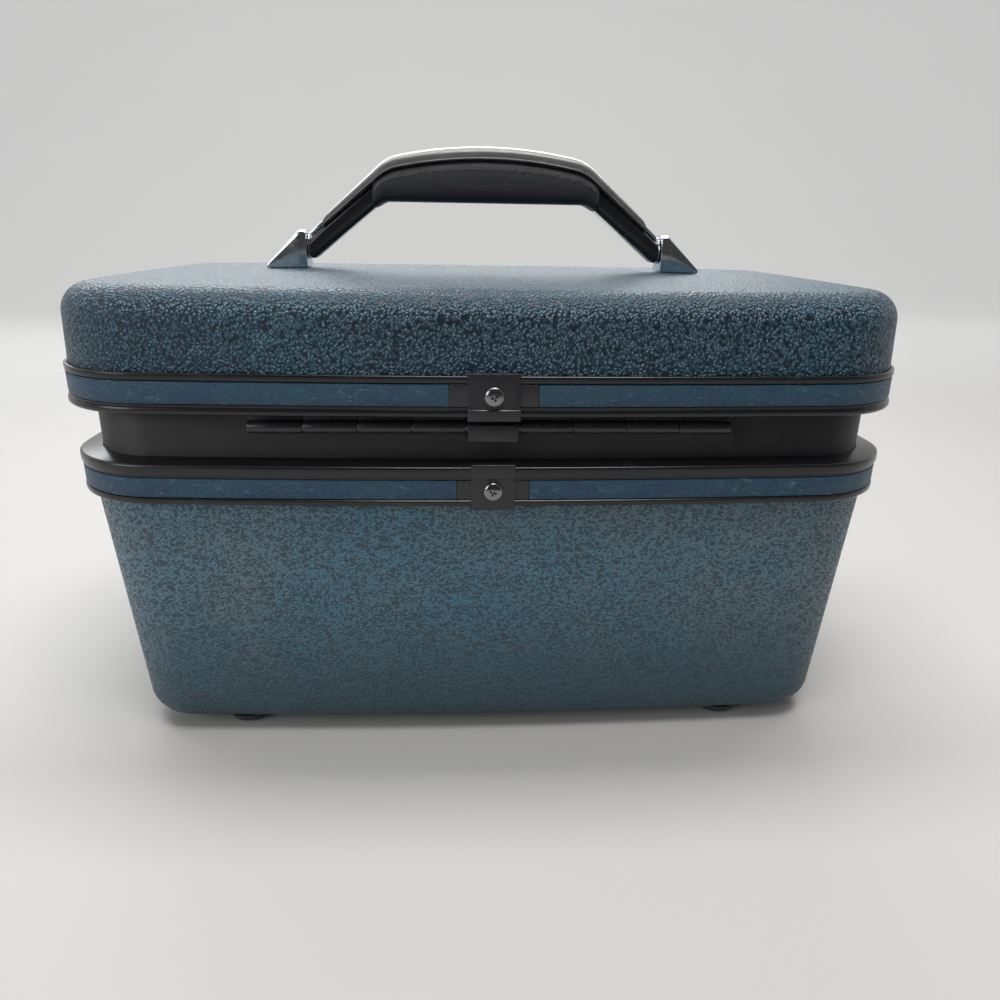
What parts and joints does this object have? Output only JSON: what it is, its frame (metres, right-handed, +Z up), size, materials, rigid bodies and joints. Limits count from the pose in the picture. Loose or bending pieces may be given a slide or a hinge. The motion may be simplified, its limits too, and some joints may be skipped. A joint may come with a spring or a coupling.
{
  "type": "cosmetic train case",
  "caption": "Hard-shell cosmetic train case with framed halves, piano hinge, latches, folding top handle, lift-out tray and lid mirror.",
  "frame": {"origin": "middle of the footprint, on the plane that the feet stand on", "axes": "+X along the width, to the right seen from the latches; +Y towards the hinge at the back; +Z up"},
  "size_m": [0.351, 0.2145, 0.258],
  "materials": {
    "teal_shell": "moulded pebble grain, satin gloss, dark teal with blue mottling",
    "blue_trim": "blue vinyl strip with a fine crinkled leather print",
    "black_frame": "satin black extruded plastic",
    "black_neck": "fine sand texture, matte black",
    "black_metal": "black satin enamel on pressed steel",
    "bright_screw": "bright nickel plate",
    "chrome": "polished chrome plate",
    "handle_plastic": "fine leather grain under a gloss",
    "handle_pad": "black padded leatherette, satin",
    "foot_rubber": "smooth dark moulded feet",
    "lining_cloth": "blue-grey woven lining with a soft sheen",
    "tray_plastic": "smooth satin vacuum-formed sheet",
    "mirror_glass": "silvered glass",
    "plain_steel": "plain zinc-plated steel"
  },
  "bodies": {
    "case_body": {"body_lining": "lining_cloth", "pocket_left": "lining_cloth", "pocket_right": "lining_cloth", "lower_shell": "teal_shell", "lower_frame": "black_frame", "neck_collar": "black_neck", "lower_trim_band": "blue_trim", "lower_splice_plate": "black_metal", "lower_splice_clip": "black_metal", "lower_splice_screw": "bright_screw", "hinge_lower_leaf": "black_metal", "hinge_pin": "plain_steel", "hinge_centre_tab": "black_metal", "foot_front_left": "foot_rubber", "foot_front_right": "foot_rubber", "foot_back_left": "foot_rubber", "foot_back_right": "foot_rubber", "latch_base_left": "chrome", "latch_pin_left": "plain_steel", "latch_base_right": "chrome", "latch_pin_right": "plain_steel"},
    "lid": {"upper_shell": "teal_shell", "upper_frame": "black_frame", "upper_trim_band": "blue_trim", "upper_splice_plate": "black_metal", "upper_splice_clip": "black_metal", "upper_splice_screw": "bright_screw", "hinge_upper_leaf": "black_metal", "lid_lining": "lining_cloth", "mirror_frame": "black_frame", "mirror": "mirror_glass", "handle_post_left": "chrome", "handle_pin_left": "plain_steel", "handle_screw_left": "plain_steel", "handle_backing_left": "plain_steel", "latch_keeper_left": "chrome", "handle_post_right": "chrome", "handle_pin_right": "plain_steel", "handle_screw_right": "plain_steel", "handle_backing_right": "plain_steel", "latch_keeper_right": "chrome"},
    "handle": {"handle_core": "handle_plastic", "handle_cover": "handle_plastic", "handle_grip": "handle_pad", "handle_tongue_left": "chrome", "handle_tongue_right": "chrome"},
    "tray": {"tray": "tray_plastic"},
    "hasp_left": {"latch_hasp_left": "chrome"},
    "button_left": {"latch_button_left": "black_frame"},
    "hasp_right": {"latch_hasp_right": "chrome"},
    "button_right": {"latch_button_right": "black_frame"}
  },
  "joints": [
    {"name": "lid_hinge", "type": "hinge", "parent": "case_body", "child": "lid", "pos_m": [0, 0.0953, 0.1486], "axis": [-1, 0, 0], "range_deg": [0, 100]},
    {"name": "handle_pivot", "type": "hinge", "parent": "lid", "child": "handle", "pos_m": [0, 0, 0.2133], "axis": [1, 0, 0], "range_deg": [-82, 82]},
    {"name": "tray_lift", "type": "slide", "parent": "case_body", "child": "tray", "axis": [0, 0, 1], "range_m": [0, 0.03]},
    {"name": "hasp_left_pivot", "type": "hinge", "parent": "case_body", "child": "hasp_left", "pos_m": [-0.08995, -0.10019, 0.1375], "axis": [0.9993, -0.038, 0], "range_deg": [-4.5, 85.5]},
    {"name": "button_left_slide", "type": "slide", "parent": "case_body", "child": "button_left", "axis": [-0.9993, 0.038, 0], "range_m": [0, 0.005], "stiffness_N_per_m": 150, "springref_m": -0.002},
    {"name": "hasp_right_pivot", "type": "hinge", "parent": "case_body", "child": "hasp_right", "pos_m": [0.08995, -0.10019, 0.1375], "axis": [0.9993, 0.038, 0], "range_deg": [-4.5, 85.5]},
    {"name": "button_right_slide", "type": "slide", "parent": "case_body", "child": "button_right", "axis": [0.9993, 0.038, 0], "range_m": [0, 0.005], "stiffness_N_per_m": 150, "springref_m": -0.002}
  ]
}
